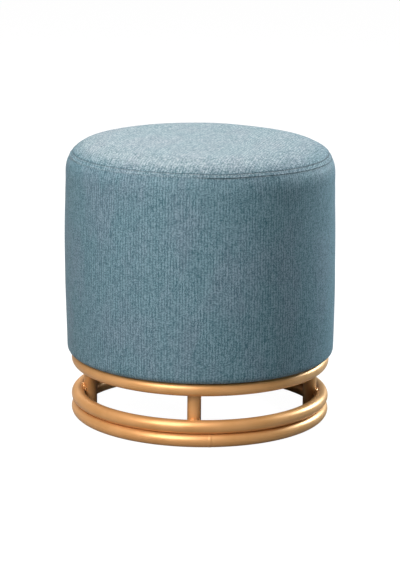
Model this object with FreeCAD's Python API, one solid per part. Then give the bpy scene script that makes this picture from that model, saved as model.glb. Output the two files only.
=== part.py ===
"""Vanity stool: an upholstered drum seat on a welded base of three tube rings and four posts.

Millimetres. +Z is up, the floor is z = 0 and the origin is the middle of the footprint.
The front is -Y. Every size that can be set by itself is named below, and the rest follows from these.
"""

import FreeCAD
import Part

import math
import os

# Tube frame
tube_diameter = 20.0
tube_wall = 1.2
ring_setback = 8.7  # of the rings' outer side inside the drum's widest place
upper_ring_height = 86.0  # of the tube's centreline above the floor
saddle_depth = 2.5  # how far a post's saddle lets a ring into it
post_foot_height = 4.0  # of a post's lower end above the floor
end_cap_thickness = 2.0
bead_width = 4.2

# Ears that the seat is bolted to
tab_thickness = 3.0
tab_width = 26.0
tab_reach = 24.0  # from the post's axis to the bolt's axis
tab_end_margin = 1.5  # by which the ear stops short of the post's outer side
tab_weld_leg = 2.5

# M6 fixings of the seat
bolt_diameter = 6.0
bolt_hole_clearance = 0.5
bolt_head_diameter = 10.5
bolt_head_height = 3.3
bolt_end_margin = 1.0  # by which the bolt stops short of the nut's flange face
hex_socket_width = 4.0
hex_socket_depth = 2.0
washer_diameter = 16.0
washer_thickness = 1.4
nut_barrel_diameter = 8.0
nut_flange_diameter = 20.0
nut_flange_thickness = 1.3

# Drum of the seat, measured over the fabric
seat_height = 415.0  # of the crown's middle above the floor
drum_diameter = 401.4  # at its widest
drum_belly_rise = 130.0  # of the widest place above the drum's underside
drum_foot_draw = 2.4  # by which the radius is smaller just above the lower corner
drum_shoulder_draw = 3.0  # by which the radius is smaller at the shoulder
drum_corner_radius = 8.0
shoulder_drop = 43.0  # of the shoulder, where the side starts to lean in, below the crown
seam_drop = 20.0  # of the top seam below the crown
seam_draw = 4.6  # by which the seam's radius is smaller than the shoulder's
crown_edge_width = 63.1  # of the cushion's rounded edge, from the nearly flat middle to the seam
crown_dish = 1.2  # by which the crown drops over its nearly flat middle
seam_groove = 1.6  # half the width of the groove along the seam
stitch_row_distance = 6.0  # from the seam to the channel of the topstitching above it
stitch_channel_radius = 0.7  # of the channel's round section

# Layers of the seat
fabric_thickness = 1.2
fabric_turn_under = 44.0  # width of the fabric turned under the drum
dust_cover_thickness = 0.5
dust_cover_margin = 6.0  # by which the dust cover stops short of the upper ring's inner side
cushion_thickness = 50.0
side_padding = 9.5  # between the wall and the fabric, at the drum's widest place
base_board_thickness = 15.0
top_board_thickness = 12.0
wall_thickness = 3.0
wall_joint_gap = 1.0
strut_width = 45.0
strut_depth = 28.0

# Screws through the boards into the struts
screw_diameter = 4.0
screw_head_diameter = 8.0
screw_length = 40.0

# Places that follow from the sizes above
drum_radius = drum_diameter / 2
tube_radius = tube_diameter / 2
bore_radius = tube_radius - tube_wall
ring_radius = drum_radius - ring_setback - tube_radius
floor_ring_z = tube_radius
middle_ring_z = floor_ring_z + tube_diameter
upper_ring_z = upper_ring_height
post_radius = ring_radius - tube_diameter + saddle_depth
drum_bottom = upper_ring_z + tube_radius
tab_top = drum_bottom - dust_cover_thickness
post_top = tab_top - tab_thickness
bolt_circle_radius = post_radius - tab_reach
base_board_bottom = drum_bottom + fabric_thickness
base_board_top = base_board_bottom + base_board_thickness
top_board_top = seat_height - fabric_thickness - cushion_thickness
top_board_bottom = top_board_top - top_board_thickness
wall_radius = drum_radius - fabric_thickness - side_padding
board_radius = wall_radius - wall_thickness
strut_middle_radius = board_radius - strut_depth / 2
seam_radius = drum_radius - drum_shoulder_draw - seam_draw
crown_flat_radius = seam_radius - crown_edge_width
nut_face_z = base_board_top + nut_flange_thickness

SIDES = {"right": 0.0, "back": 90.0, "left": 180.0, "front": 270.0}
UP = FreeCAD.Vector(0, 0, 1)
ORIGIN = FreeCAD.Vector(0, 0, 0)
MARGIN = 5.0  # by which a cutting tool runs past what it cuts


def vector(x, y, z):
    return FreeCAD.Vector(x, y, z)


def cylinder(radius, bottom, top, x=0.0, y=0.0):
    return Part.makeCylinder(radius, top - bottom, vector(x, y, bottom))


def disc_ring(outer_radius, inner_radius, bottom, top, x=0.0, y=0.0):
    outer = cylinder(outer_radius, bottom, top, x, y)
    return outer.cut(cylinder(inner_radius, bottom - MARGIN, top + MARGIN, x, y))


def turned(shape, degrees):
    """A copy of the shape turned about the stool's axis."""
    copy = shape.copy()
    copy.rotate(ORIGIN, UP, degrees)
    return copy


def on_every_side(shape):
    """Copies of a shape made on the +X side, one for each of the four sides."""
    return [turned(shape, degrees) for degrees in SIDES.values()]


def revolved(edges):
    """A solid of revolution about Z from a closed outline in the XZ plane."""
    face = Part.Face(Part.Wire(edges))
    return face.revolve(ORIGIN, UP, 360)


def line(start, end):
    return Part.makeLine(vector(start[0], 0, start[1]), vector(end[0], 0, end[1]))


def arc(start, middle, end):
    points = [vector(p[0], 0, p[1]) for p in (start, middle, end)]
    return Part.Arc(*points).toShape()


def tangent_arc(start, direction, end):
    """An arc that leaves start along direction, a vector in the XZ plane, and ends at end."""
    first = vector(start[0], 0, start[1])
    last = vector(end[0], 0, end[1])
    chord = last - first
    turn = direction.getAngle(chord)
    outwards = direction.normalize() - chord * (direction.dot(chord) / chord.Length**2)
    sagitta = chord.Length / 2 * math.tan(turn / 2)
    middle = (first + last) * 0.5 + outwards.normalize() * sagitta
    return Part.Arc(first, middle, last).toShape()


# Tube frame


def ring(height):
    """A closed hoop of round tube, solid inside because nothing opens its sealed bore."""
    return Part.makeTorus(ring_radius, tube_radius, vector(0, 0, height))


def ring_heights():
    return {"floor": floor_ring_z, "middle": middle_ring_z, "upper": upper_ring_z}


def post():
    """The upright on the +X side, with a saddle for each ring that it is welded to."""
    tube = disc_ring(tube_radius, bore_radius, post_foot_height, post_top, post_radius)
    for height in ring_heights().values():
        tube = tube.cut(ring(height))
    return tube


def end_cap():
    """The disc let into the lower end of a post."""
    disc = cylinder(bore_radius, post_foot_height, post_foot_height + end_cap_thickness, post_radius)
    return disc.cut(ring(floor_ring_z))


def weld_bead(height):
    """The bead round the saddle where a post meets a ring."""
    saddle_radius = math.sqrt(tube_radius * saddle_depth * 2)
    bead_radius = bead_width / 2
    middle = (ring_radius - tube_radius + post_radius + tube_radius) / 2
    bead = Part.makeTorus(
        saddle_radius + bead_radius / 2, bead_radius, vector(middle, 0, height), vector(1, 0, 0)
    )
    bead = bead.cut(ring(height))
    bead = bead.cut(cylinder(tube_radius, 0, post_top + MARGIN, post_radius))
    bead = bead.cut(cylinder(tube_diameter, post_top, post_top + tube_diameter, post_radius))
    return max(bead.Solids, key=lambda solid: solid.Volume)


def seat_tab():
    """The steel ear on top of the +X post, with a round inner end and a hole for its bolt."""
    outer_end = post_radius + tube_radius - tab_end_margin
    half = tab_width / 2
    plate = Part.makeBox(
        outer_end - bolt_circle_radius, tab_width, tab_thickness, vector(bolt_circle_radius, -half, post_top)
    )
    plate = plate.fuse(cylinder(half, post_top, tab_top, bolt_circle_radius))
    hole_radius = bolt_diameter / 2 + bolt_hole_clearance
    plate = plate.cut(cylinder(hole_radius, post_top - MARGIN, tab_top + MARGIN, bolt_circle_radius))
    plate = plate.cut(ring(upper_ring_z))
    return plate.removeSplitter()


def tab_weld():
    """The fillet weld between the +X post and its ear."""
    inner = tube_radius
    outer = tube_radius + tab_weld_leg
    fillet = revolved(
        [
            line((inner, post_top), (outer, post_top)),
            line((outer, post_top), (inner, post_top - tab_weld_leg)),
            line((inner, post_top - tab_weld_leg), (inner, post_top)),
        ]
    )
    fillet.translate(vector(post_radius, 0, 0))
    fillet = fillet.cut(ring(upper_ring_z))
    outer_end = post_radius + tube_radius - tab_end_margin
    beyond = Part.makeBox(
        tube_diameter, tube_diameter * 2, tube_diameter, vector(outer_end, -tube_diameter, post_top - tube_diameter)
    )
    fillet = fillet.cut(beyond).cut(weld_bead(upper_ring_z))
    return max(fillet.Solids, key=lambda solid: solid.Volume)


# Fixings of the seat


def seat_bolt():
    """A button-head bolt with a hex socket, pointing up."""
    head_top = post_top - washer_thickness
    shank = cylinder(bolt_diameter / 2, head_top, nut_face_z - bolt_end_margin, bolt_circle_radius)
    head = cylinder(bolt_head_diameter / 2, head_top - bolt_head_height, head_top, bolt_circle_radius)
    rim = [e for e in head.Edges if abs(e.BoundBox.ZMax - (head_top - bolt_head_height)) < 1e-6 and e.Closed]
    head = head.makeFillet(bolt_head_height * 0.6, rim)
    corner = hex_socket_width / math.sqrt(3)
    hexagon = [
        vector(
            bolt_circle_radius + corner * math.cos(math.radians(60 * k)),
            corner * math.sin(math.radians(60 * k)),
            head_top - bolt_head_height,
        )
        for k in range(7)
    ]
    socket = Part.Face(Part.makePolygon(hexagon)).extrude(vector(0, 0, hex_socket_depth))
    return shank.fuse(head).cut(socket).removeSplitter()


def seat_washer():
    hole_radius = bolt_diameter / 2 + bolt_hole_clearance
    return disc_ring(
        washer_diameter / 2, hole_radius, post_top - washer_thickness, post_top, bolt_circle_radius
    )


def t_nut():
    """A flanged nut let into the base board from above."""
    barrel = cylinder(nut_barrel_diameter / 2, base_board_bottom, base_board_top, bolt_circle_radius)
    flange = cylinder(nut_flange_diameter / 2, base_board_top, nut_face_z, bolt_circle_radius)
    bore = cylinder(bolt_diameter / 2, base_board_bottom - MARGIN, nut_face_z + MARGIN, bolt_circle_radius)
    return barrel.fuse(flange).cut(bore).removeSplitter()


# Wooden carcass


def strut_screw(face_z, direction):
    """A countersunk screw in the middle of the +X strut, from the board face at face_z towards direction."""
    core = screw_diameter / 2
    head = screw_head_diameter / 2
    sink = head - core
    tip = face_z + direction * screw_length
    outline = [
        (0, face_z),
        (head, face_z),
        (core, face_z + direction * sink),
        (core, tip - direction * core * 2),
        (0, tip),
    ]
    edges = [line(a, b) for a, b in zip(outline, outline[1:] + outline[:1])]
    screw = revolved(edges)
    screw.translate(vector(strut_middle_radius, 0, 0))
    return screw


def all_strut_screws():
    lower = on_every_side(strut_screw(base_board_bottom, 1))
    upper = on_every_side(strut_screw(top_board_top, -1))
    return lower + upper


def board(bottom, top):
    disc = cylinder(board_radius, bottom, top)
    for screw in all_strut_screws():
        disc = disc.cut(screw)
    return disc


def base_board():
    disc = board(base_board_bottom, base_board_top)
    barrel = cylinder(
        nut_barrel_diameter / 2, base_board_bottom - MARGIN, base_board_top + MARGIN, bolt_circle_radius
    )
    for hole in on_every_side(barrel):
        disc = disc.cut(hole)
    return disc


def top_board():
    return board(top_board_bottom, top_board_top)


def strut():
    """The softwood upright on the +X side, its outer face rounded to the wall."""
    inner = strut_middle_radius - strut_depth / 2
    timber = Part.makeBox(
        strut_depth,
        strut_width,
        top_board_bottom - base_board_top,
        vector(inner, -strut_width / 2, base_board_top),
    )
    timber = timber.common(cylinder(board_radius, base_board_top, top_board_bottom))
    for screw in all_strut_screws():
        timber = timber.cut(screw)
    return timber


def wall_shell():
    """The bent sheet round both boards, its ends butted at the back."""
    sheet = disc_ring(wall_radius, board_radius, base_board_bottom, top_board_top)
    gap = Part.makeBox(
        wall_joint_gap,
        wall_thickness * 4,
        top_board_top - base_board_bottom + 2 * MARGIN,
        vector(-wall_joint_gap / 2, board_radius - wall_thickness, base_board_bottom - MARGIN),
    )
    return sheet.cut(gap)


# Upholstery


def crown_sphere_arc(crown):
    """The nearly flat middle of the crown, from its rim to the axis, on a sphere centred on the axis."""
    radius = (crown_flat_radius**2 + crown_dish**2) / (2 * crown_dish)
    half_angle = math.asin(crown_flat_radius / radius) / 2
    middle = (radius * math.sin(half_angle), crown - radius * (1 - math.cos(half_angle)))
    return arc((crown_flat_radius, crown - crown_dish), middle, (0, crown))


def seam_place(inset=0.0):
    """Radius and height of the top seam, on a surface drawn in by inset."""
    return seam_radius - inset, seat_height - seam_drop - inset


def cushion_edge_arc(inset):
    """The cushion's rounded edge, from the rim of the flat middle to the seam."""
    middle = crown_sphere_arc(seat_height - inset)
    outwards = middle.tangentAt(middle.FirstParameter) * -1
    if outwards.x < 0:
        outwards = outwards * -1
    rim = (crown_flat_radius, seat_height - inset - crown_dish)
    return tangent_arc(rim, outwards, seam_place(inset))


def drum(inset):
    """The whole drum, drawn in by inset on every side: barrelled side, crowned top and a rounded lower edge."""
    belly = drum_radius - inset
    bottom = drum_bottom + inset
    crown = seat_height - inset
    corner = drum_corner_radius - inset
    foot = (belly - drum_foot_draw, bottom + corner)
    shoulder = (belly - drum_shoulder_draw, crown - shoulder_drop)
    turn = corner * (1 - math.sqrt(0.5))
    under = (foot[0] - corner, bottom)
    barrel = arc(foot, (belly, bottom + drum_belly_rise), shoulder)
    upwards = barrel.tangentAt(barrel.LastParameter)
    if upwards.z < 0:
        upwards = barrel.tangentAt(barrel.FirstParameter) * -1
    edges = [
        line((0, bottom), under),
        arc(under, (foot[0] - turn, bottom + turn), foot),
        barrel,
        tangent_arc(shoulder, upwards, seam_place(inset)),
        cushion_edge_arc(inset),
        crown_sphere_arc(crown),
        line((0, crown), (0, bottom)),
    ]
    return revolved(edges)


def stitch_channel():
    """The round-bottomed channel that the topstitching draws into the top panel."""
    circle = cushion_edge_arc(0).Curve
    radius, height = seam_place()
    seam = circle.parameter(vector(radius, 0, height))
    step = stitch_row_distance / circle.Radius
    rows = [circle.value(seam + step), circle.value(seam - step)]
    row = min(rows, key=lambda point: point.x)
    return Part.makeTorus(row.x, stitch_channel_radius, vector(0, 0, row.z))


def seam_cutter():
    """A groove of triangular section along the top seam."""
    radius, height = seam_place()
    deep = (radius - seam_groove / 2, height - seam_groove / 4)
    below = (radius + seam_groove, height - seam_groove / 2)
    above = (radius + seam_groove, height + seam_groove)
    return revolved([line(deep, below), line(below, above), line(above, deep)])


def cover():
    """The fabric skin over the whole drum, open below inside the turned-under edge."""
    skin = drum(0).cut(drum(fabric_thickness)).cut(seam_cutter()).cut(stitch_channel())
    open_radius = drum_radius - drum_foot_draw - drum_corner_radius - fabric_turn_under
    return skin.cut(cylinder(open_radius, drum_bottom - MARGIN, drum_bottom + MARGIN + drum_corner_radius))


def above_seam():
    """Everything above the top seam."""
    radius, height = seam_place()
    return cylinder(drum_diameter, height - seam_groove / 4, seat_height + MARGIN)


def cover_top():
    return cover().common(above_seam())


def cover_side():
    return cover().cut(above_seam())


def seat_foam():
    """The crowned cushion on the top board."""
    return drum(fabric_thickness).common(cylinder(drum_diameter, top_board_top, seat_height + MARGIN))


def side_foam():
    """The thin wrap between the wall and the fabric."""
    wrap = drum(fabric_thickness).cut(cylinder(drum_diameter, top_board_top, seat_height + MARGIN))
    return wrap.cut(cylinder(wall_radius, drum_bottom - MARGIN, top_board_top + MARGIN))


def dust_cover():
    """The thin sheet over the underside, inside the upper ring."""
    sheet = cylinder(ring_radius - tube_radius - dust_cover_margin, tab_top, drum_bottom)
    for bolt in on_every_side(cylinder(bolt_diameter / 2 + bolt_hole_clearance, 0, seat_height, bolt_circle_radius)):
        sheet = sheet.cut(bolt)
    return sheet


def solids():
    """Every node by name, each a list of solids."""
    nodes = {name + "_ring": [ring(height)] for name, height in ring_heights().items()}
    for name, height in ring_heights().items():
        nodes["weld_beads_" + name] = on_every_side(weld_bead(height))
    for side, degrees in SIDES.items():
        nodes["post_" + side] = [turned(post(), degrees)]
        nodes["seat_tab_" + side] = [turned(seat_tab(), degrees)]
        nodes["strut_" + side] = [turned(strut(), degrees)]
    nodes["post_end_caps"] = on_every_side(end_cap())
    nodes["tab_welds"] = on_every_side(tab_weld())
    nodes["seat_bolts"] = on_every_side(seat_bolt())
    nodes["seat_washers"] = on_every_side(seat_washer())
    nodes["t_nuts"] = on_every_side(t_nut())
    nodes["strut_screws"] = all_strut_screws()
    nodes["base_board"] = [base_board()]
    nodes["top_board"] = [top_board()]
    nodes["wall_shell"] = [wall_shell()]
    nodes["seat_foam"] = [seat_foam()]
    nodes["side_foam"] = [side_foam()]
    nodes["cover_top"] = [cover_top()]
    nodes["cover_side"] = [cover_side()]
    nodes["dust_cover"] = [dust_cover()]
    return nodes


os.makedirs("parts", exist_ok=True)
for name, members in solids().items():
    found = [solid for member in members for solid in member.Solids]
    shape = found[0] if len(found) == 1 else Part.makeCompound(found)
    shape.exportStep("parts/" + name + ".step")
    print(name, len(found), "solid", "valid" if shape.isValid() else "NOT VALID", round(shape.Volume / 1000, 2), "cm3")
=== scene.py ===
"""Vanity stool: slate-blue woven drum seat, topstitched, on a gold-painted tube base. Metres, +Z up."""

import math

import bpy
import numpy as np
from mathutils import Matrix, Vector, noise


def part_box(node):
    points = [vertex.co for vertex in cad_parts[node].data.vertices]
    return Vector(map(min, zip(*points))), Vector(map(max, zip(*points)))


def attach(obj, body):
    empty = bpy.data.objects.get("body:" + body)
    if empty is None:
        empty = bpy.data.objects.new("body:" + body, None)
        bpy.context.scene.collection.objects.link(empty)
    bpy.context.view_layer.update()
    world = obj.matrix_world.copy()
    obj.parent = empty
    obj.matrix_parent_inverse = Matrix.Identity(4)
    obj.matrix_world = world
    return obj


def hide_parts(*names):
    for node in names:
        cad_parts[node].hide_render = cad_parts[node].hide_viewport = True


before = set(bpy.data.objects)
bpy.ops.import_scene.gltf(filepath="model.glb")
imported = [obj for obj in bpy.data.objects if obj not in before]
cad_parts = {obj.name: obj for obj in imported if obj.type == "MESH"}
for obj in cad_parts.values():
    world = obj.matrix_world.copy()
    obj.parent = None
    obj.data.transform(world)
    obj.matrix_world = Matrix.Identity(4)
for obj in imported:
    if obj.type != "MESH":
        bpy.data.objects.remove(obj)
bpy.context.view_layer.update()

MM = 0.001
TURN = 2 * math.pi

# Places read from the frame
side_low, side_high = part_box("cover_side")
top_low, top_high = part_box("cover_top")
wall_low, wall_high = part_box("wall_shell")
ring_low, ring_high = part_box("upper_ring")
post_low, post_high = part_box("post_right")
dust_low, dust_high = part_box("dust_cover")

belly_radius = (side_high[0] - side_low[0]) / 2
seam_radius = (top_high[0] - top_low[0]) / 2
wall_radius = (wall_high[0] - wall_low[0]) / 2
tube_radius = (ring_high[2] - ring_low[2]) / 2
ring_radius = (ring_high[0] - ring_low[0]) / 2 - tube_radius
post_radius = (post_high[0] + post_low[0]) / 2
ring_heights = {}
for ring in ("floor", "middle", "upper"):
    low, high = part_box(ring + "_ring")
    ring_heights[ring] = (low[2] + high[2]) / 2
floor_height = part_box("floor_ring")[0][2]
drum_bottom = side_low[2]
seam_height = top_low[2] + 0.4 * MM
crown_height = top_high[2]
cushion_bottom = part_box("seat_foam")[0][2]

# Shape of the fabric, as on the frame's drum but for the rounder lower corner
corner_radius = 10 * MM
foot_draw = 2.4 * MM  # by which the radius is smaller just above the lower corner
belly_rise = 130 * MM
shoulder_draw = 3.0 * MM
shoulder_height = crown_height - 43 * MM
turn_under = 44 * MM
flat_radius = 130 * MM
crown_dish = 1.2 * MM
cover_thickness = 2.0 * MM
around = 560  # steps round the drum, two for each stitch
stitch_count = around // 2
stitch_distance = 6.0 * MM  # of the row of stitches above the seam
thread_radius = 0.42 * MM
thread_length = 3.1 * MM
thread_height = 0.22 * MM  # of a stitch's middle over the cloth
thread_sink = 0.60 * MM  # of its ends, below its middle
roll_points = 5  # of the top panel's edge where it rolls into the seam

# How far the upholstery has settled, at most
seam_lift = 0.8 * MM  # at the front and back
seam_dip = 4.3 * MM  # at the sides, below the lift
seam_pull_depth = 1.3 * MM  # a little right of the front
pull_place, pull_spread = 13, 9  # degrees from the front
seam_closing = 0.8 * MM  # of each lip of the seam, where it is drawn shut
drum_lean = 2.6 * MM

# Relief of the side, at most
side_top_folds = 0.42 * MM
side_low_folds = 0.40 * MM
side_swells = 0.75 * MM
back_seam_depth = 0.9 * MM
back_seam_width = 0.9 * MM
back_seam_ridge = 0.35 * MM
side_fullness = 0.8 * MM  # above the waist
side_waist = 0.5 * MM

# Relief of the top, at most
strip_padding = 0.05 * MM  # between the seam and the stitches
channel_depth = 0.50 * MM
hole_depth = 0.34 * MM
top_folds = 0.38 * MM
crown_padding = 1.2 * MM
edge_padding = 2.0 * MM
edge_left_extra = 0.5 * MM
edge_sides_extra = 1.2 * MM
corner_padding = 1.5 * MM  # close to the seam, at the sides only
corner_right_extra = 0.5 * MM
top_swells = 0.9 * MM


# Small geometry helpers


def smooth(low, high, value):
    """0 below low, 1 above high and a smooth step between; works on arrays."""
    t = np.clip((value - low) / (high - low), 0.0, 1.0)
    return t * t * (3 - 2 * t)


def arc_points(start, middle, end, count):
    """Points on the circle through three points of the (radius, height) plane, from start to end."""
    (ax, ay), (bx, by), (cx, cy) = start, middle, end
    d = 2 * (ax * (by - cy) + bx * (cy - ay) + cx * (ay - by))
    ux = ((ax**2 + ay**2) * (by - cy) + (bx**2 + by**2) * (cy - ay) + (cx**2 + cy**2) * (ay - by)) / d
    uy = ((ax**2 + ay**2) * (cx - bx) + (bx**2 + by**2) * (ax - cx) + (cx**2 + cy**2) * (bx - ax)) / d
    radius = math.hypot(ax - ux, ay - uy)
    first = math.atan2(ay - uy, ax - ux)
    sweep = (math.atan2(cy - uy, cx - ux) - first + math.pi) % TURN - math.pi
    angles = first + sweep * np.linspace(0, 1, count)
    return [(ux + radius * math.cos(a), uy + radius * math.sin(a)) for a in angles]


def tangent_arc_points(start, direction, end, count):
    """Points on the arc that leaves start along direction and ends at end."""
    chord = np.subtract(end, start)
    length = np.hypot(*chord)
    direction = np.asarray(direction) / np.hypot(*direction)
    turn = math.acos(np.clip(direction @ chord / length, -1, 1))
    outwards = direction - chord * (direction @ chord) / length**2
    outwards = outwards / np.hypot(*outwards)
    middle = (np.add(start, end)) / 2 + outwards * length / 2 * math.tan(turn / 2)
    return arc_points(start, tuple(middle), end, count)


def joined(*runs):
    """Runs of points end to end, without the repeated ones."""
    points = list(runs[0])
    for run in runs[1:]:
        points += list(run[1:])
    return np.array(points)


def normals_of(outline):
    """Unit normals of an outline in the (radius, height) plane, to the right of its way."""
    step = np.gradient(outline, axis=0)
    step /= np.linalg.norm(step, axis=1)[:, None]
    return np.stack([step[:, 1], -step[:, 0]], axis=1)


def new_object(name, vertices, faces):
    """A smooth-shaded mesh object in the scene."""
    mesh = bpy.data.meshes.new(name)
    mesh.from_pydata([tuple(v) for v in vertices], [], faces)
    mesh.validate()
    mesh.update()
    for polygon in mesh.polygons:
        polygon.use_smooth = True
    piece = bpy.data.objects.new(name, mesh)
    bpy.context.scene.collection.objects.link(piece)
    return piece


def store_painted_shade_depth(piece, values):
    """Keeps, for the material's painted shade, how deep in a crease each vertex lies, 0 to 1."""
    attribute = piece.data.attributes.new("painted_shade_depth", "FLOAT", "POINT")
    padded = np.zeros(len(piece.data.vertices))
    padded[: len(values)] = values
    attribute.data.foreach_set("value", padded)


def loop_faces(rows, columns, close_rows):
    """Quads of a grid whose columns run round and join up."""
    faces = []
    last = rows if close_rows else rows - 1
    for i in range(last):
        a, b = i * columns, (i + 1) % rows * columns
        for j in range(columns):
            k = (j + 1) % columns
            faces.append((a + j, a + k, b + k, b + j))
    return faces


def finish_piece(piece, slot, material, *nodes):
    """Puts a piece on the body, with its material, in place of the nodes named; the slot is not used."""
    piece.data.materials.clear()
    piece.data.materials.append(material)
    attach(piece, "root")
    if nodes:
        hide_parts(*nodes)
    return piece


# Node material helpers


class Nodes:
    """A material's node tree with short calls for the nodes used here."""

    def __init__(self, name):
        self.material = bpy.data.materials.new(name)
        self.material.use_nodes = True
        self.tree = self.material.node_tree
        self.shader = self.tree.nodes["Principled BSDF"]

    def node(self, kind, **settings):
        made = self.tree.nodes.new(kind)
        for key, value in settings.items():
            setattr(made, key, value)
        return made

    def plug(self, value, socket):
        if hasattr(value, "is_output"):
            self.tree.links.new(value, socket)
        else:
            socket.default_value = value

    def math(self, operation, a, b=0.0):
        made = self.node("ShaderNodeMath", operation=operation)
        for value, socket in zip((a, b), made.inputs):
            self.plug(value, socket)
        return made.outputs[0]

    def plus(self, a, b):
        return self.math("ADD", a, b)

    def minus(self, a, b):
        return self.math("SUBTRACT", a, b)

    def times(self, a, b):
        return self.math("MULTIPLY", a, b)

    def mix(self, factor, a, b, blend="MIX"):
        made = self.node("ShaderNodeMix", data_type="RGBA", blend_type=blend)
        self.plug(factor, made.inputs[0])
        self.plug(a, made.inputs[6])
        self.plug(b, made.inputs[7])
        return made.outputs[2]

    def ramp(self, value, low, high, to_low=0.0, to_high=1.0):
        made = self.node("ShaderNodeMapRange", interpolation_type="SMOOTHSTEP")
        for given, socket in zip((value, low, high, to_low, to_high), made.inputs):
            self.plug(given, socket)
        return made.outputs[0]

    def place(self):
        """The object's own coordinates in metres, as three sockets and one vector."""
        vector = self.node("ShaderNodeTexCoord").outputs["Object"]
        split = self.node("ShaderNodeSeparateXYZ")
        self.plug(vector, split.inputs[0])
        return split.outputs[0], split.outputs[1], split.outputs[2], vector

    def vector(self, x, y, z):
        made = self.node("ShaderNodeCombineXYZ")
        for value, socket in zip((x, y, z), made.inputs):
            self.plug(value, socket)
        return made.outputs[0]

    def noise(self, vector, scale, detail=2.0, roughness=0.5):
        made = self.node("ShaderNodeTexNoise")
        self.plug(vector, made.inputs["Vector"])
        made.inputs["Scale"].default_value = scale
        made.inputs["Detail"].default_value = detail
        made.inputs["Roughness"].default_value = roughness
        return made.outputs["Fac"]

    def bump(self, height, strength, distance):
        made = self.node("ShaderNodeBump")
        made.inputs["Strength"].default_value = strength
        made.inputs["Distance"].default_value = distance
        self.plug(height, made.inputs["Height"])
        return made.outputs[0]

    def set(self, **values):
        """Sets inputs of the shader, whose names have _ for each space."""
        for name, value in values.items():
            self.plug(value, self.shader.inputs[name.replace("_", " ")])


# Fabric


warp_pitch = 1.45 * MM
weft_pitch = 1.15 * MM
rib_yarns = 3  # every third warp yarn lies low, which gives the cloth its ribs
yarn_wander = 1.4 * MM
top_weave_turn = math.radians(-13)
dark_yarns = (0.034, 0.106, 0.136, 1), (0.056, 0.112, 0.150, 1)  # without and with the violet heather
pale_yarns = (0.188, 0.322, 0.376, 1), (0.218, 0.326, 0.390, 1)
mean_tone = {"side": 1.06, "top": 0.98}
warp_streaks = {"side": 62.0, "top": 84.0}  # changes of tone along a warp yarn, in one metre
crossing_contrast = {"side": 0.80, "top": 1.20}
darkest_tone = 0.48
painted_top_light = (2.27, 1.58, 1.44, 1)  # painted light and sheen: by which the cloth is painted paler where it lies level
painted_top_light_power = 5.0
painted_seam_shade = 0.36  # painted shade: by which the cloth is painted darker at the bottom of seams and stitch channels


def weave_coordinates(n, part):
    """Distances across and along the warp yarns, in metres."""
    x, y, z, _ = n.place()
    if part == "side":
        angle = n.math("ARCTAN2", x, n.times(y, -1.0))
        return n.times(angle, belly_radius), z
    c, s = math.cos(top_weave_turn), math.sin(top_weave_turn)
    across = n.plus(n.times(x, c), n.times(y, s))
    along = n.minus(n.times(y, c), n.times(x, s))
    return across, along


def yarn_noise(n, across, along, scales, place=0.0, detail=2.0, roughness=0.5):
    """Noise with its own scale across and along; place keeps each noise apart from the others."""
    vector = n.vector(n.times(across, scales[0]), n.times(along, scales[1]), place)
    return n.noise(vector, 1.0, detail, roughness)


def yarn_grid(n, across, along):
    """The numbers of the warp and weft yarns, and their rounds: 0 at a yarn's edge, 1 at its middle."""
    wander = n.times(n.minus(yarn_noise(n, across, along, (55.0, 38.0)), 0.5), yarn_wander)
    numbers, rounds = [], []
    for distance, pitch in ((across, warp_pitch), (along, weft_pitch)):
        count = n.math("DIVIDE", n.plus(distance, wander), pitch)
        numbers.append(n.math("FLOOR", count))
        rounds.append(n.math("ABSOLUTE", n.math("SINE", n.times(count, math.pi))))
    return numbers, rounds


def weave_height(n, numbers, rounds, low_yarn):
    """Height of the cloth, 0 to 1, where warp and weft go over each other by turns."""
    over = n.math("FLOORED_MODULO", n.plus(*numbers), 2.0)  # 1 where the warp goes over the weft
    warp = n.times(rounds[0], n.plus(0.62, n.times(over, 0.38)))  # 0.62 high, and 1 where over
    warp = n.times(warp, n.minus(1.0, n.times(low_yarn, 0.28)))
    weft = n.times(rounds[1], n.minus(0.85, n.times(over, 0.50)))  # 0.85 high, and 0.35 where under
    return n.math("MAXIMUM", warp, weft)


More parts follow.
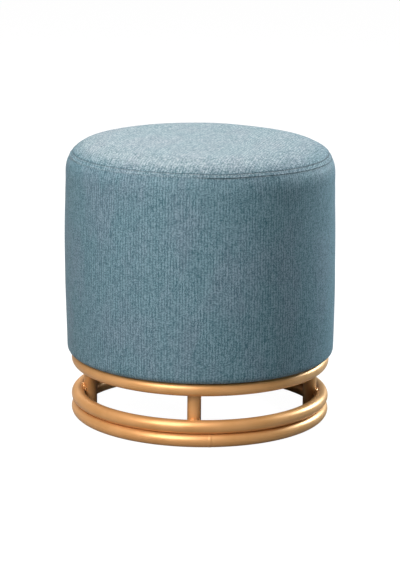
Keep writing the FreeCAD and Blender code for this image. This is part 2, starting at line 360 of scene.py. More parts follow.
def fabric(name, part):
    """A ribbed, heathered weave: each yarn has its own tone, thickness and slubs, with painted light and
    sheen where it lies level and painted shade between the yarns and in the creases.
    """
    n = Nodes(name)
    across, along = weave_coordinates(n, part)
    (warp_yarn, weft_yarn), rounds = yarn_grid(n, across, along)
    low_yarn = n.math("LESS_THAN", n.math("FLOORED_MODULO", warp_yarn, float(rib_yarns)), 0.5)
    height = weave_height(n, (warp_yarn, weft_yarn), rounds, low_yarn)

    warp_tone = yarn_noise(n, warp_yarn, along, (13.7, warp_streaks[part]), 0.0, 3.0, 0.65)
    weft_tone = yarn_noise(n, across, weft_yarn, (150.0, 9.3), 5.0)
    crossing = n.node("ShaderNodeTexWhiteNoise", noise_dimensions="2D")
    n.plug(n.vector(warp_yarn, weft_yarn, 0.0), crossing.inputs["Vector"])
    thick_thin = yarn_noise(n, across, along, (520.0, 110.0), 7.0, 2.0, 0.6)
    fleck = yarn_noise(n, across, along, (950.0, 780.0), 1.0, 2.0, 0.7)
    tone = mean_tone[part]
    for source, contrast in (
        (warp_tone, 1.7),
        (weft_tone, 0.7),
        (crossing.outputs["Value"], crossing_contrast[part]),
        (thick_thin, 0.6),
        (fleck, 1.0),
    ):
        tone = n.plus(tone, n.times(n.minus(source, 0.5), contrast))
    # Painted shade: the low-lying rib yarns and the hollows between the yarns are drawn darker
    tone = n.minus(tone, n.times(low_yarn, 0.24))
    tone = n.times(tone, n.ramp(height, 0.10, 0.75, 0.62, 1.06))  # darker between the yarns

    # Painted light and sheen: the cloth is drawn paler, and less violet, the more it faces up
    slope = n.node("ShaderNodeSeparateXYZ")
    n.plug(n.node("ShaderNodeNewGeometry").outputs["Normal"], slope.inputs[0])
    level = n.math("POWER", n.math("MAXIMUM", slope.outputs[2], 0.0), painted_top_light_power)
    heather = yarn_noise(n, warp_yarn, along, (5.9, 36.0), 9.0)
    cloud = yarn_noise(n, across, along, (24.0, 10.0), 3.0, 3.0, 0.55)
    violet = n.plus(n.ramp(cloud, 0.38, 0.68, 0.0, 0.65), n.ramp(heather, 0.45, 0.75, 0.0, 0.25))
    violet = n.times(violet, n.minus(1.0, n.times(level, 0.5)))
    colour = n.mix(n.minus(tone, darkest_tone), n.mix(violet, *dark_yarns), n.mix(violet, *pale_yarns))
    colour = n.mix(level, colour, n.mix(1.0, colour, painted_top_light, "MULTIPLY"))
    # Painted shade in the seams and the stitch channels
    painted_shade_depth = n.node("ShaderNodeAttribute", attribute_name="painted_shade_depth").outputs["Fac"]
    shade = n.minus(1.0, n.times(painted_shade_depth, painted_seam_shade))
    colour = n.mix(1.0, colour, n.vector(shade, shade, shade), "MULTIPLY")

    slub = n.ramp(warp_tone, 0.52, 0.75, 0.0, 0.5)
    relief = n.plus(height, n.plus(slub, n.times(fleck, 0.5)))
    n.set(Base_Color=colour, Roughness=0.62, Specular_IOR_Level=0.3)
    n.set(Sheen_Weight=0.03, Sheen_Roughness=0.40, Sheen_Tint=(0.86, 0.94, 1.0, 1))
    n.set(Normal=n.bump(relief, 0.45, 0.40 * MM))
    return n.material


def thread_material():
    """The twisted sewing thread of the topstitching, a little darker than the cloth."""
    n = Nodes("sewing_thread")
    twist = n.noise(n.place()[3], 2600.0, 1.0)
    dark, pale = (0.060, 0.105, 0.130, 1), (0.110, 0.175, 0.205, 1)
    n.set(Base_Color=n.mix(twist, dark, pale), Roughness=0.6)
    n.set(Normal=n.bump(twist, 0.5, 0.1 * MM))
    return n.material


# Ways in which the upholstery departs from a true solid of revolution


def degrees_from_front(angle):
    """Degrees from the front, positive to the right, within half a turn."""
    return np.degrees((angle + math.pi / 2 + math.pi) % TURN - math.pi)


def seam_pull(angle):
    """Where the seam is pulled down and gapes, a little right of the front: 1 there, 0 elsewhere."""
    return np.exp(-(((degrees_from_front(angle) - pull_place) / pull_spread) ** 2))


def seam_rise(angle):
    """Height of the top seam over its mean: up at the front and back, down at the sides and at the pull."""
    return seam_lift - seam_dip * np.cos(angle) ** 2 - seam_pull_depth * seam_pull(angle)


def seam_shut(angle):
    """How far the seam is drawn shut, 0 to 1: tight at the front left, less so elsewhere."""
    from_front = degrees_from_front(angle)
    tight = smooth(-74, -54, from_front) * (1 - smooth(-4, 8, from_front))
    return 0.35 + 0.50 * tight - 0.22 * seam_pull(angle) * (1 - tight)


def settled(radius, height, angle, rise_share, lean_share):
    """Grid points with the seam's rise and a slight lean to the left, each by its share in every row."""
    z = height + seam_rise(angle)[None, :] * rise_share[:, None]
    lean = drum_lean * smooth(drum_bottom - 10 * MM, drum_bottom + 235 * MM, z) * lean_share[:, None]
    return np.stack([radius * np.cos(angle) - lean, radius * np.sin(angle), z], axis=2)


# Side of the drum


def side_outline():
    """Outer outline of the side, from the edge turned under up into the groove of the top seam."""
    foot = (belly_radius - foot_draw, drum_bottom + corner_radius)
    under = (foot[0] - corner_radius, drum_bottom)
    inner = (under[0] - turn_under, drum_bottom)
    half = corner_radius * (1 - math.sqrt(0.5))
    shoulder = (belly_radius - shoulder_draw, shoulder_height)
    flat = [(r, drum_bottom) for r in np.linspace(inner[0], under[0], 16)]
    corner = arc_points(under, (foot[0] - half, drum_bottom + half), foot, 9)
    barrel = arc_points(foot, (belly_radius, drum_bottom + belly_rise), shoulder, 88)
    seam = (seam_radius - 0.2 * MM, seam_height - 0.9 * MM)
    upwards = np.subtract(barrel[-1], barrel[-2])
    lean = tangent_arc_points(shoulder, upwards, seam, 26)
    roll_top = (seam[0] - 1.1 * MM, seam[1] + 0.15 * MM)
    roll = arc_points(seam, roll_top, (seam[0] - 2.2 * MM, seam[1] - 0.9 * MM), 6)
    return joined(flat, corner, barrel, lean, roll)


def side_inner_outline(outer):
    """Inner outline of the side, from the seam down along the cushion and the wall to the edge below."""
    seam_end = outer[-1] + np.array([-0.4 * MM, -1.0 * MM])
    levels = np.linspace(seam_end[1], cushion_bottom, 8)
    order = np.argsort(outer[:, 1])
    beside = np.interp(levels, outer[order, 1], outer[order, 0]) - cover_thickness
    upper = [tuple(seam_end)] + [(min(r, seam_end[0]), z) for r, z in zip(beside[1:], levels[1:])]
    upper.append((wall_radius, cushion_bottom))
    floor = drum_bottom + 1.2 * MM
    wall = [(wall_radius, z) for z in np.linspace(cushion_bottom, floor, 12)]
    below = [(r, floor) for r in np.linspace(wall_radius, outer[0][0], 6)]
    return joined(upper, wall, below)


def puckers(angle, seed, spacing):
    """A row of uneven small folds along a seam, about -1 to 1, that are spacing apart along the seam."""
    turns = round(TURN * seam_radius / spacing)
    out = []
    for a in angle:
        circle = Vector((math.cos(a), math.sin(a), seed)) * (turns / TURN)
        out.append(noise.noise(circle) + 0.5 * noise.noise(circle * 2.1))
    return np.array(out)


def across_from_back(angle):
    """Distance round the side from the seam at the back."""
    return ((angle + math.pi / 2) % TURN - math.pi) * belly_radius


def side_relief(outline, angle):
    """How far the side stands out at each outline point and angle: swells, folds, the back seam."""
    height = outline[:, 1]
    below_seam = np.clip(seam_height - height, 0, None)
    above_edge = np.clip(height - drum_bottom, 0, None)
    near_top = np.exp(-below_seam / (14 * MM)) * smooth(0, 2.5 * MM, below_seam)
    near_low = np.exp(-above_edge / (16 * MM)) * smooth(0, 6 * MM, above_edge)
    relief = side_top_folds * near_top[:, None] * puckers(angle, 4.0, 15 * MM)[None, :]
    relief += side_low_folds * near_low[:, None] * puckers(angle, 8.0, 22 * MM)[None, :]
    body = smooth(drum_bottom + 4 * MM, drum_bottom + 30 * MM, height)
    body *= 1 - smooth(seam_height - 25 * MM, seam_height - 2 * MM, height)
    for i, z in enumerate(height):
        if body[i] > 0:
            for j, a in enumerate(angle):
                place = Vector((math.cos(a) * 2.3, math.sin(a) * 2.3, z * 9.0))
                relief[i, j] += side_swells * body[i] * noise.noise(place)
    from_back = across_from_back(angle)
    groove = -back_seam_depth * np.exp(-((from_back / back_seam_width) ** 2))
    ridge = back_seam_ridge * np.exp(-((np.abs(from_back) / (6 * MM)) ** 4))
    relief += (groove + ridge)[None, :] * smooth(drum_bottom, drum_bottom + 5 * MM, height)[:, None]
    waist = smooth(190 * MM, 240 * MM, height) * (1 - smooth(320 * MM, 350 * MM, height))
    full = smooth(350 * MM, 375 * MM, height)
    full *= 1 - smooth(seam_height - 10 * MM, seam_height - 1 * MM, height)
    relief += (side_fullness * full - side_waist * waist)[:, None]
    return relief


def make_side():
    """The fabric band and the foam under it, as one padded piece with a groove for the seam."""
    outer = side_outline()
    inner = side_inner_outline(outer)
    angle = -math.pi / 2 + TURN * np.arange(around) / around
    normal = normals_of(outer)
    relief = side_relief(outer, angle)
    radius = outer[:, 0][:, None] + normal[:, 0][:, None] * relief
    height = outer[:, 1][:, None] + normal[:, 1][:, None] * relief
    lip = smooth(seam_height - 5 * MM, seam_height - 1 * MM, outer[:, 1])
    height += seam_closing * lip[:, None] * seam_shut(angle)[None, :]
    inner = inner[1:-1]
    radius = np.vstack([radius, np.repeat(inner[:, 0][:, None], around, axis=1)])
    height = np.vstack([height, np.repeat(inner[:, 1][:, None], around, axis=1)])
    outer_rise = smooth(seam_height - 50 * MM, seam_height - 2 * MM, outer[:, 1])
    inner_rise = smooth(cushion_bottom, seam_height - 2 * MM, inner[:, 1])
    rise = np.concatenate([outer_rise, inner_rise])
    inner_lean = smooth(cushion_bottom, cushion_bottom + 6 * MM, inner[:, 1])
    lean = np.concatenate([np.ones(len(outer)), inner_lean])
    points = settled(radius, height, angle, rise, lean).reshape(-1, 3)
    piece = new_object("side_cover", points, loop_faces(len(radius), around, True))
    # Painted shade: how far each vertex lies in the top seam's groove or in the back seam
    near_seam = smooth(seam_height - 2.4 * MM, seam_height - 1 * MM, outer[:, 1])
    in_seam = near_seam[:, None] * (1 - 0.7 * seam_shut(angle))
    in_back_seam = np.exp(-((across_from_back(angle) / back_seam_width) ** 2))[None, :]
    store_painted_shade_depth(piece, np.maximum(in_seam, in_back_seam).ravel())
    return finish_piece(piece, "seat_fabric", fabric("woven_side", "side"), "cover_side", "side_foam")


# Top panel


def top_outline():
    """Outline of the top panel, from the groove of the seam over the stitched strip to the middle."""
    sphere = (flat_radius**2 + crown_dish**2) / (2 * crown_dish)
    slope = math.asin(flat_radius / sphere)
    rim = (flat_radius, crown_height - crown_dish)
    seam = (seam_radius - 0.5 * MM, seam_height + 0.9 * MM)
    fine = 400
    arc = tangent_arc_points(rim, (math.cos(slope), -math.sin(slope)), seam, fine + 1)[::-1]
    near_stitches, beyond = np.linspace(0, 0.18, 25), np.linspace(0.18, 1, 34)[1:]
    edge = [arc[round(share * fine)] for share in np.concatenate([near_stitches, beyond])]
    roll_low = (seam[0] - 0.3 * MM, seam[1] - 1.0 * MM)
    roll = arc_points((seam[0] - 2.2 * MM, seam[1] - 1.2 * MM), roll_low, seam, roll_points)
    flat = []
    for r in np.linspace(flat_radius, 4 * MM, 40):
        flat.append((r, crown_height - sphere * (1 - math.sqrt(1 - (r / sphere) ** 2))))
    return joined(roll, edge, flat)


def top_relief(outline, angle):
    """How far the panel stands out, and each outline point's distance from the seam along the cloth."""
    run = np.concatenate([[0], np.cumsum(np.hypot(*np.diff(outline, axis=0).T))])
    run = run - run[roll_points - 1]
    sideways = np.cos(angle)  # 1 at the right, -1 at the left
    hole_phase = np.cos(angle * stitch_count)  # 1 at the needle holes, -1 in the middle of each stitch
    from_stitches = run - stitch_distance
    strip = strip_padding * np.exp(-(((run - stitch_distance / 2) / (stitch_distance * 0.42)) ** 4))
    channel = -channel_depth * np.exp(-((from_stitches / (1.0 * MM)) ** 2))
    relief = (strip + channel)[:, None] * np.ones(len(angle))[None, :]
    dimple = np.exp(-((from_stitches / (1.5 * MM)) ** 2))
    relief -= hole_depth * dimple[:, None] * hole_phase[None, :]
    fade = np.exp(-np.clip(from_stitches, 0, None) / (17 * MM)) * smooth(0, 3 * MM, from_stitches)
    relief += top_folds * fade[:, None] * puckers(angle, 15.0, 13 * MM)[None, :]
    relief += (crown_padding * smooth(10 * MM, 60 * MM, run))[:, None]
    edge = np.exp(-(((run - 20 * MM) / (13 * MM)) ** 2)) * smooth(0, 8 * MM, run)
    edge_height = edge_padding - edge_left_extra * sideways + edge_sides_extra * sideways**2
    relief += edge[:, None] * edge_height[None, :]
    corner = np.exp(-(((run - 9 * MM) / (7 * MM)) ** 2)) * smooth(0, 5 * MM, run)
    corner_height = (corner_padding + corner_right_extra * sideways) * sideways**2
    relief += corner[:, None] * corner_height[None, :]
    swell = smooth(12 * MM, 45 * MM, run)
    for i, (r, _) in enumerate(outline):
        if swell[i] > 0:
            for j, a in enumerate(angle):
                place = Vector((math.cos(a) * r * 11.0, math.sin(a) * r * 11.0, 2.0))
                relief[i, j] += top_swells * swell[i] * noise.noise(place)
    return relief, run


def make_top():
    """The top panel on its cushion; gives the row of surface points for the stitches and its normal."""
    outer = top_outline()
    angle = -math.pi / 2 + TURN * np.arange(around) / around
    normal = normals_of(outer)
    relief, run = top_relief(outer, angle)
    radius = outer[:, 0][:, None] + normal[:, 0][:, None] * relief
    height = outer[:, 1][:, None] + normal[:, 1][:, None] * relief
    lip = 1 - smooth(0, 5 * MM, run)
    height -= seam_closing * lip[:, None] * seam_shut(angle)[None, :]
    side = side_outline()
    order = np.argsort(side[:, 1])
    levels = np.linspace(cushion_bottom + 0.3 * MM, outer[0][1] - 2.4 * MM, 8)
    beside = np.interp(levels, side[order, 1], side[order, 0]) - cover_thickness - 0.4 * MM
    beside = np.minimum(beside, outer[0][0] - 1.4 * MM)
    bottom = [(r, levels[0]) for r in np.linspace(4 * MM, beside[0], 10)]
    hidden = np.array(bottom + list(zip(beside[1:], levels[1:])))
    radius = np.vstack([np.repeat(hidden[:, 0][:, None], around, axis=1), radius])
    height = np.vstack([np.repeat(hidden[:, 1][:, None], around, axis=1), height])
    hidden_rise = smooth(cushion_bottom, seam_height - 2 * MM, hidden[:, 1])
    hidden_lean = smooth(cushion_bottom, cushion_bottom + 6 * MM, hidden[:, 1])
    rise = np.concatenate([hidden_rise, 1 - smooth(0, 40 * MM, run)])
    lean = np.concatenate([hidden_lean, np.ones(len(run))])
    grid = settled(radius, height, angle, rise, lean)
    rows = len(radius)
    centre = grid[-1].mean(axis=0)
    points = list(grid.reshape(-1, 3)) + [(0, 0, levels[0]), tuple(centre)]
    faces = loop_faces(rows, around, False)
    low_pole, high_pole = rows * around, rows * around + 1
    last = (rows - 1) * around
    for j in range(around):
        k = (j + 1) % around
        faces.append((low_pole, k, j))
        faces.append((high_pole, last + j, last + k))
    piece = new_object("top_cushion", points, faces)
    # Painted shade: how far each vertex lies in the stitch channel, at the needle holes or on the seam's lip
    at_holes = (0.60 + 0.40 * np.cos(angle * stitch_count)) * (1 - 0.6 * seam_shut(angle))
    channel = np.exp(-(((run - stitch_distance) / (1.2 * MM)) ** 2))[:, None] * at_holes[None, :]
    lip = (1 - smooth(0.2 * MM, 1.2 * MM, run))[:, None] * (1 - 0.7 * seam_shut(angle))
    unseen = np.zeros(len(hidden) * around)
    store_painted_shade_depth(piece, np.concatenate([unseen, np.maximum(channel, lip).ravel()]))
    finish_piece(piece, "seat_fabric", fabric("woven_top", "top"), "cover_top", "seat_foam")
    row = int(np.argmin(np.abs(run - stitch_distance)))
    return grid[len(hidden) + row], normal[row]


def make_stitches(row, normal):
    """The topstitching along a row of surface points: a short curved thread for each stitch."""
    rings, sides = 7, 8
    vertices, faces = [], []
    for k in range(stitch_count):
        middle = 2 * k + 1
        start = len(vertices)
        angle = -math.pi / 2 + TURN * middle / around
        outwards = Vector((math.cos(angle) * normal[0], math.sin(angle) * normal[0], normal[1]))
        along = Vector((-math.sin(angle), math.cos(angle), 0))
        across = along.cross(outwards)
        base = Vector(row[middle % around])
        for i in range(rings):
            t = i / (rings - 1) * 2 - 1
            lift = thread_height - thread_sink * t * t
            thick = thread_radius * math.sqrt(max(0.12, 1 - t**6))
            centre = base + along * (t * thread_length / 2) + outwards * lift
            for s in range(sides):
                turn = TURN * s / sides
                vertices.append(centre + (outwards * math.cos(turn) + across * math.sin(turn)) * thick)
        for i in range(rings - 1):
            for s in range(sides):
                a, b = start + i * sides, start + (i + 1) * sides
                q = (s + 1) % sides
                faces.append((a + s, b + s, b + q, a + q))
        faces.append(tuple(start + s for s in range(sides)))
        faces.append(tuple(start + (rings - 1) * sides + s for s in reversed(range(sides))))
    piece = new_object("topstitching", vertices, faces)
    return finish_piece(piece, "seat_fabric", thread_material())


# Metal


def gold_metal(name, lumpy=False):
    """Satin gold paint on steel: fine orange peel and metal flake under a thin clear coat."""
    n = Nodes(name)
    place = n.place()[3]
    tone = n.noise(place, 22.0, 3.0, 0.55)
    flake = n.noise(place, 1900.0, 2.0, 0.6)
    peel = n.noise(place, 420.0, 2.0, 0.5)
    dark, pale, sparkle = (0.700, 0.371, 0.128, 1), (0.750, 0.412, 0.158, 1), (0.820, 0.610, 0.320, 1)
    colour = n.mix(n.ramp(tone, 0.35, 0.65), dark, pale)
    colour = n.mix(n.ramp(flake, 0.60, 0.80, 0.0, 0.30), colour, sparkle)
    rough = (0.20, 0.26) if lumpy else (0.38, 0.45)
    n.set(Base_Color=colour, Roughness=n.ramp(tone, 0.3, 0.7, *rough), Metallic=0.40)
    n.set(Specular_IOR_Level=0.5, Coat_Weight=0.12, Coat_Roughness=0.30)
    height = n.plus(n.times(peel, 0.7), n.times(flake, 0.3))
    n.set(Normal=n.bump(height, 0.6 if lumpy else 0.12, 0.12 * MM))
    return n.material


def make_weld_beads(name, height, material):
    """The lumpy bead round the saddle between each post and one ring."""
    steps, sides = 84, 12
    saddle = 8.3 * MM
    thinnest, ripples, unevenness = 1.35 * MM, 1.0 * MM, 0.6 * MM
    vertices, faces = [], []
    for side in range(4):
        start = len(vertices)
        c, s = math.cos(side * TURN / 4), math.sin(side * TURN / 4)
        path = []
        for i in range(steps):
            a = TURN * i / steps
            y, z = saddle * math.cos(a), saddle * math.sin(a)
            on_post = post_radius + math.sqrt(tube_radius**2 - y * y)
            on_ring = ring_radius - math.sqrt(tube_radius**2 - z * z)
            path.append(Vector(((on_post + on_ring) / 2, y, z)))
        for i, point in enumerate(path):
            along = (path[(i + 1) % steps] - path[i - 1]).normalized()
            out = Vector((0, point.y, point.z)).normalized()
            across = along.cross(out)
            ripple = abs(math.sin(i * math.pi / 6 + side)) ** 1.5
            seed = Vector((i * 0.35, side * 7.0, height * 100))
            thick = thinnest + ripples * ripple + unevenness * noise.noise(seed)
            for q in range(sides):
                t = TURN * q / sides
                v = point + (out * math.cos(t) + across * math.sin(t)) * thick
                above_floor = max(v.z + height, floor_height)
                vertices.append(Vector((v.x * c - v.y * s, v.x * s + v.y * c, above_floor)))
        for i in range(steps):
            a, b = start + i * sides, start + (i + 1) % steps * sides
            for q in range(sides):
                r = (q + 1) % sides
                faces.append((a + q, a + r, b + r, b + q))
    piece = new_object("weld_" + name, vertices, faces)
    return finish_piece(piece, "gold_metal", material, "weld_beads_" + name)


def make_ring_joint(name, height, degrees, material):
    """The dressed butt weld of one ring: a band that stands a hair proud of the tube."""
    half_width, proud = 2.2 * MM, 0.22 * MM
    steps, sides = 9, 40
    vertices = []
    for i in range(steps):
        t = i / (steps - 1) * 2 - 1
        angle = math.radians(degrees) + t * half_width / ring_radius
        thick = tube_radius - 0.1 * MM + (proud + 0.1 * MM) * (1 - t**4)
        for q in range(sides):
            turn = TURN * q / sides
            r = ring_radius + thick * math.cos(turn)
            z = thick * math.sin(turn)
            wobble = noise.noise(Vector((i * 0.9, q * 0.45, height * 50))) * 0.06 * MM
            r += wobble * math.cos(turn)
            z = max(height + z + wobble * math.sin(turn), floor_height)
            vertices.append((r * math.cos(angle), r * math.sin(angle), z))
    faces = []
    for i in range(steps - 1):
        for q in range(sides):
            k = (q + 1) % sides
            faces.append((i * sides + q, (i + 1) * sides + q, (i + 1) * sides + k, i * sides + k))
    faces.append(tuple(range(sides)))
    faces.append(tuple((steps - 1) * sides + q for q in reversed(range(sides))))
    piece = new_object("ring_joint_" + name, vertices, faces)
    return finish_piece(piece, "gold_metal", material)


def dress_nodes(material, names):
    """Gives CAD nodes that stay a better material."""
    for name in names:
        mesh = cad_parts[name].data
        if not mesh.materials:
            mesh.materials.append(material)
        for i in range(len(mesh.materials)):
            mesh.materials[i] = material


# Underside


def make_dust_cover():
    """The black non-woven sheet under the seat, stretched flat with faint ripples."""
    outer = (dust_high[0] - dust_low[0]) / 2
    steps, rows = 240, 34
    ripple, puckering, thickness = 0.16 * MM, 0.22 * MM, 0.3 * MM
    sag = -0.2 * MM  # at most, which is down to the underside of the frame's own sheet
    level = dust_low[2] - sag
    top, bottom = [], []
    for i in range(rows):
        r = outer * (i + 1) / rows
        for j in range(steps):
            a = TURN * j / steps
            wave = noise.noise(Vector((math.cos(a) * r * 30, math.sin(a) * r * 30, 0))) * ripple
            pull = noise.noise(Vector((math.cos(a) * 9, math.sin(a) * 9, 3))) * puckering
            z = level + max(sag, wave + pull * (i / rows) ** 3)
            bottom.append((r * math.cos(a), r * math.sin(a), z))
            top.append((r * math.cos(a), r * math.sin(a), z + thickness))
    vertices = bottom + top + [(0, 0, level), (0, 0, level + thickness)]
    shift = len(bottom)
    faces = []
    for i in range(rows - 1):
        for j in range(steps):
            k = (j + 1) % steps
            a, b = i * steps, (i + 1) * steps
            faces.append((a + j, b + j, b + k, a + k))
            faces.append((shift + a + j, shift + a + k, shift + b + k, shift + b + j))
    for j in range(steps):
        k = (j + 1) % steps
        edge = (rows - 1) * steps
        faces.append((edge + j, shift + edge + j, shift + edge + k, edge + k))
        faces.append((2 * shift, j, k))
        faces.append((2 * shift + 1, shift + k, shift + j))
    piece = new_object("underside_sheet", vertices, faces)
    return finish_piece(piece, "black_nonwoven", nonwoven_material(), "dust_cover")


def nonwoven_material():
    """Black spun fibre, pressed flat in a close pattern of dots."""
    n = Nodes("black_nonwoven")
    x, y, _, _ = n.place()
    fibre = n.noise(n.vector(n.times(x, 900.0), n.times(y, 260.0), 0.0), 1.0, 4.0, 0.7)
    dot_turn = TURN / (2.2 * MM)
    dots = n.times(n.math("SINE", n.times(x, dot_turn)), n.math("SINE", n.times(y, dot_turn)))
    colour = n.mix(fibre, (0.012, 0.012, 0.013, 1), (0.040, 0.040, 0.043, 1))
    n.set(Base_Color=colour, Roughness=0.85)
    n.set(Normal=n.bump(n.minus(fibre, n.ramp(dots, 0.45, 0.75)), 0.5, 0.2 * MM))
    return n.material


def steel_material():
    """Bright zinc plate with a faint cloudy grain."""
    n = Nodes("zinc_steel")
    cloud = n.noise(n.place()[3], 260.0, 3.0, 0.6)
    colour = n.mix(cloud, (0.46, 0.46, 0.44, 1), (0.66, 0.66, 0.63, 1))
    n.set(Base_Color=colour, Roughness=n.ramp(cloud, 0.3, 0.7, 0.28, 0.45), Metallic=1.0)
    n.set(Normal=n.bump(cloud, 0.1, 0.1 * MM))
    return n.material


def make_staples():
    """Wire staples that hold the underside sheet, one every 25 mm or so, each a little off true."""
    count = 40
    crown, wire, depth = 9.0 * MM, 0.9 * MM, 0.45 * MM
    bends = [(-1.0, 0.5 * MM), (-0.93, 0.12 * MM), (-0.8, 0.0)]  # along the crown, and into the seat
    bends += [(-t, rise) for t, rise in reversed(bends)]
    profile = ((-1, 0), (-0.6, -1), (0.6, -1), (1, 0), (0.6, 1), (-0.6, 1))
    sides, last_ring = len(profile), (len(bends) - 1) * len(profile)
    radius = (dust_high[0] - dust_low[0]) / 2 - 8 * MM
    vertices, faces = [], []
    for k in range(count):
        angle = TURN * (k + 0.5) / count
        skew = 0.16 * noise.noise(Vector((k * 3.1, 0, 0)))
        along = Vector((-math.sin(angle + skew), math.cos(angle + skew), 0))
        across = Vector((math.cos(angle + skew), math.sin(angle + skew), 0))
        centre = Vector((radius * math.cos(angle), radius * math.sin(angle), dust_low[2] + 0.15 * MM))
        start = len(vertices)
        for t, rise in bends:
            for sx, sz in profile:
                upwards = Vector((0, 0, rise + sz * depth / 2))
                vertices.append(centre + along * t * crown / 2 + across * sx * wire / 2 + upwards)
        for i in range(len(bends) - 1):
            for q in range(sides):
                r = (q + 1) % sides
                a, b = start + i * sides, start + (i + 1) * sides
                faces.append((a + q, a + r, b + r, b + q))
        faces.append(tuple(start + q for q in reversed(range(sides))))
        faces.append(tuple(start + last_ring + q for q in range(sides)))
    piece = new_object("staples", vertices, faces)
    return finish_piece(piece, "zinc_steel", steel_material())


def wood_material(name, light, dark, rings):
    """Sawn wood with its grain along x; rings is how often the tone changes over one metre of height."""
    n = Nodes(name)
    x, y, z, _ = n.place()
    stretched = n.vector(n.times(x, 6.0), n.times(y, 90.0), n.times(z, rings))
    grain = n.noise(stretched, 1.0, 5.0, 0.65)
    n.set(Base_Color=n.mix(n.ramp(grain, 0.3, 0.7), light, dark), Roughness=0.7)
    n.set(Normal=n.bump(grain, 0.2, 0.2 * MM))
    return n.material


# Stage, light and camera


floor_white, floor_white_share = 1.12, 0.88  # of the floor as the camera sees it; the rest shows the shadow
even_light, reflected_white = 0.018, 0.31  # strengths of the world for matt surfaces and in reflections
lights_aim = Vector((0, 0, 0.25))


def make_stage():
    """A plain pale floor that shows white to the camera and keeps a soft shadow."""
    bpy.ops.mesh.primitive_plane_add(size=14, location=(0, 0, floor_height))
    floor = bpy.context.object
    floor.name = "floor"
    n = Nodes("pale_floor")
    speckle = n.noise(n.place()[3], 40.0)
    path = n.node("ShaderNodeLightPath")
    seen = n.math("MAXIMUM", path.outputs["Is Camera Ray"], path.outputs["Is Transmission Ray"])
    pale = n.mix(speckle, (0.80, 0.80, 0.80, 1), (0.84, 0.84, 0.84, 1))
    n.set(Base_Color=n.mix(seen, (0.30, 0.32, 0.33, 1), pale), Roughness=0.9, Specular_IOR_Level=0.0)
    white = n.node("ShaderNodeEmission")
    white.inputs["Color"].default_value = (1, 1, 1, 1)
    white.inputs["Strength"].default_value = floor_white
    mixed = n.node("ShaderNodeMixShader")
    n.plug(n.times(seen, floor_white_share), mixed.inputs[0])
    n.tree.links.new(n.shader.outputs[0], mixed.inputs[1])
    n.tree.links.new(white.outputs[0], mixed.inputs[2])
    n.tree.links.new(mixed.outputs[0], n.tree.nodes["Material Output"].inputs[0])
    floor.data.materials.append(n.material)


def make_world():
    """White to the camera, a dimmer white in reflections, and a weak even light for all other rays."""
    world = bpy.data.worlds.new("studio")
    bpy.context.scene.world = world
    world.use_nodes = True
    tree = world.node_tree
    path = tree.nodes.new("ShaderNodeLightPath")
    strength = even_light
    levels = (("Is Glossy Ray", reflected_white), ("Is Camera Ray", 1.0), ("Is Transmission Ray", 1.0))
    for ray, level in levels:
        choose = tree.nodes.new("ShaderNodeMix")
        tree.links.new(path.outputs[ray], choose.inputs[0])
        if isinstance(strength, float):
            choose.inputs[2].default_value = strength
        else:
            tree.links.new(strength, choose.inputs[2])
        choose.inputs[3].default_value = level
        strength = choose.outputs[0]
    tree.links.new(strength, tree.nodes["Background"].inputs["Strength"])
    tree.nodes["Background"].inputs["Color"].default_value = (1, 1, 1, 1)


def area_light(name, location, size, energy, colour):
    """A round soft light that faces the middle of the seat."""
    data = bpy.data.lights.new(name, "AREA")
    data.shape = "DISK"
    data.size = size
    data.energy = energy
    data.color = colour
    lamp = bpy.data.objects.new(name, data)
    lamp.location = location
    lamp.rotation_euler = (lights_aim - Vector(location)).to_track_quat("-Z", "Y").to_euler()
    bpy.context.scene.collection.objects.link(lamp)


camera_azimuth = math.radians(2.7)
camera_pitch = math.radians(13.47)
camera_distance = 3.778
camera_aim_height = 0.210
camera_roll = math.radians(0.65)
focal_pixels = 2543.6
image_width, image_height = 400, 570
aim_pixel = (200.97, 275.17)  # where the aim point lies in the photograph


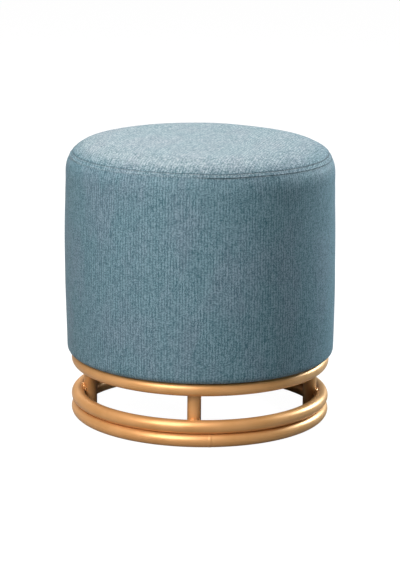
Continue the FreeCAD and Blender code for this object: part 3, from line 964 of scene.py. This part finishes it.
def make_camera():
    """The camera of the photograph, fitted to its outlines."""
    data = bpy.data.cameras.new("camera")
    data.sensor_fit = "VERTICAL"
    data.sensor_height = 36
    data.lens = focal_pixels / image_height * data.sensor_height
    data.clip_end = 50
    camera = bpy.data.objects.new("camera", data)
    aim = Vector((0, 0, camera_aim_height))
    back = Vector(
        (
            math.cos(camera_pitch) * math.sin(camera_azimuth),
            -math.cos(camera_pitch) * math.cos(camera_azimuth),
            math.sin(camera_pitch),
        )
    )
    camera.location = aim + back * camera_distance
    right = Vector((math.cos(camera_azimuth), math.sin(camera_azimuth), 0))
    up = back.cross(right)
    pixel = camera_distance / focal_pixels
    aim_x = (aim_pixel[0] - image_width / 2) * pixel
    aim_y = (image_height / 2 - aim_pixel[1]) * pixel
    target = aim - right * aim_x - up * aim_y
    turn = (target - camera.location).to_track_quat("-Z", "Y")
    camera.rotation_euler = (turn.to_matrix() @ Matrix.Rotation(camera_roll, 3, "Z")).to_euler()
    bpy.context.scene.collection.objects.link(camera)
    bpy.context.scene.camera = camera


make_side()
stitch_row, stitch_normal = make_top()
make_stitches(stitch_row, stitch_normal)

gold = gold_metal("gold_paint")
weld_gold = gold_metal("gold_weld", lumpy=True)
dress_nodes(gold, [name + "_ring" for name in ring_heights] + ["post_end_caps"])
for direction in ("front", "left", "back", "right"):
    dress_nodes(gold, ["post_" + direction, "seat_tab_" + direction])
dress_nodes(weld_gold, ["tab_welds"])
for ring_name, ring_height in ring_heights.items():
    make_weld_beads(ring_name, ring_height, weld_gold)
for ring_name, degrees in (("floor", -82.6), ("middle", 97.0), ("upper", 82.0)):
    make_ring_joint(ring_name, ring_heights[ring_name], degrees, gold)

make_dust_cover()
make_staples()
dress_nodes(steel_material(), ["seat_bolts", "seat_washers", "t_nuts", "strut_screws"])
plywood = wood_material("plywood", (0.62, 0.46, 0.28, 1), (0.45, 0.30, 0.16, 1), 700.0)
dress_nodes(plywood, ["base_board", "top_board", "wall_shell"])
softwood = wood_material("softwood", (0.70, 0.53, 0.32, 1), (0.50, 0.33, 0.17, 1), 6.0)
for direction in ("front", "left", "back", "right"):
    dress_nodes(softwood, ["strut_" + direction])

make_stage()
make_world()
area_light("key_left", (-0.86, -1.75, 1.42), 1.2, 47, (1.0, 0.89, 0.87))
area_light("key_high", (-0.58, -1.13, 2.29), 1.2, 24, (1.0, 0.89, 0.87))
area_light("back_high", (-0.80, 1.35, 2.40), 1.6, 56, (1.0, 1.0, 1.0))
area_light("rim_right", (1.82, 1.30, 1.07), 0.8, 60, (0.84, 0.95, 1.0))
make_camera()

scene = bpy.context.scene
scene.view_settings.view_transform = "Standard"
